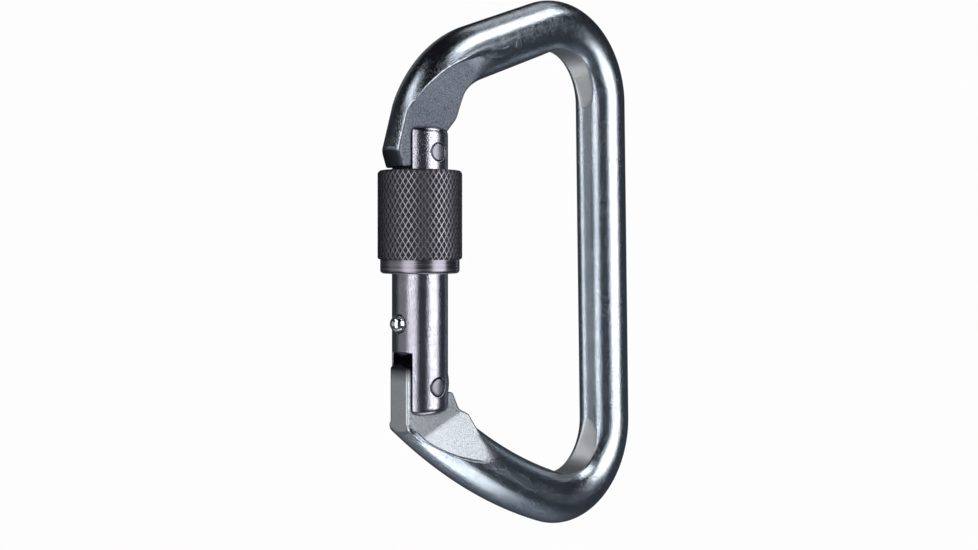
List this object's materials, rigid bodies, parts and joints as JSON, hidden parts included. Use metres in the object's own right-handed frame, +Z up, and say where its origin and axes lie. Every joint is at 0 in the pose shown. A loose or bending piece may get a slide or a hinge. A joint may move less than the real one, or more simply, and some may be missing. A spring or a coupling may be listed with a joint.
{
  "type": "locking carabiner",
  "caption": "Steel D-shaped carabiner: a bent round bar with a hinged, spring-closed gate that a knurled screw sleeve locks to the nose.",
  "frame": {"origin": "on the inside face of the top bend, at its crown, where a rope or an anchor bears", "axes": "+Z up along the spine towards the top bend, +X from the gate towards the spine, +Y through the flat side of the carabiner"},
  "size_m": [0.0695, 0.016, 0.1122],
  "materials": {
    "plated_steel": "bright zinc plating over a finely grained surface",
    "gate_steel": "turned and plated, darker and slightly violet grey",
    "rivet_steel": "plain plated steel",
    "bright_steel": "polished",
    "spring_wire": "drawn wire",
    "sleeve_steel": "dark gunmetal, diamond knurl over smooth turned collar"
  },
  "bodies": {
    "frame": {"body": "plated_steel"},
    "gate": {"gate": "gate_steel", "latch_pin": "rivet_steel", "hinge_pin": "rivet_steel", "stop_ball": "bright_steel", "return_spring": "spring_wire"},
    "plunger": {"spring_plunger": "rivet_steel"},
    "collar": {"sleeve_collar": "sleeve_steel"},
    "sleeve": {"knurled_sleeve": "sleeve_steel"}
  },
  "joints": [
    {"name": "gate_hinge", "type": "hinge", "parent": "frame", "child": "gate", "pos_m": [-0.03915, 0, -0.06806], "axis": [0, 1, 0], "range_deg": [0, 26], "stiffness_Nm_per_rad": 0.45, "springref_deg": -34.38},
    {"name": "plunger_slide", "type": "slide", "parent": "gate", "child": "plunger", "axis": [0, 0, 1], "range_m": [0, 0.00155], "deforming": ["return_spring"]},
    {"name": "collar_slide", "type": "slide", "parent": "gate", "child": "collar", "axis": [0, 0, 1], "range_m": [-0.0076, 0.0013]},
    {"name": "sleeve_turn", "type": "hinge", "parent": "collar", "child": "sleeve", "pos_m": [-0.03915, 0, -0.036], "axis": [0, 0, 1], "range_deg": [-1372, 238]}
  ],
  "couplings": [
    {"joint": "plunger_slide", "follows": "gate_hinge", "m_per_rad": 0.0033},
    {"joint": "sleeve_turn", "follows": "collar_slide", "rad_per_m": 3141.6}
  ]
}
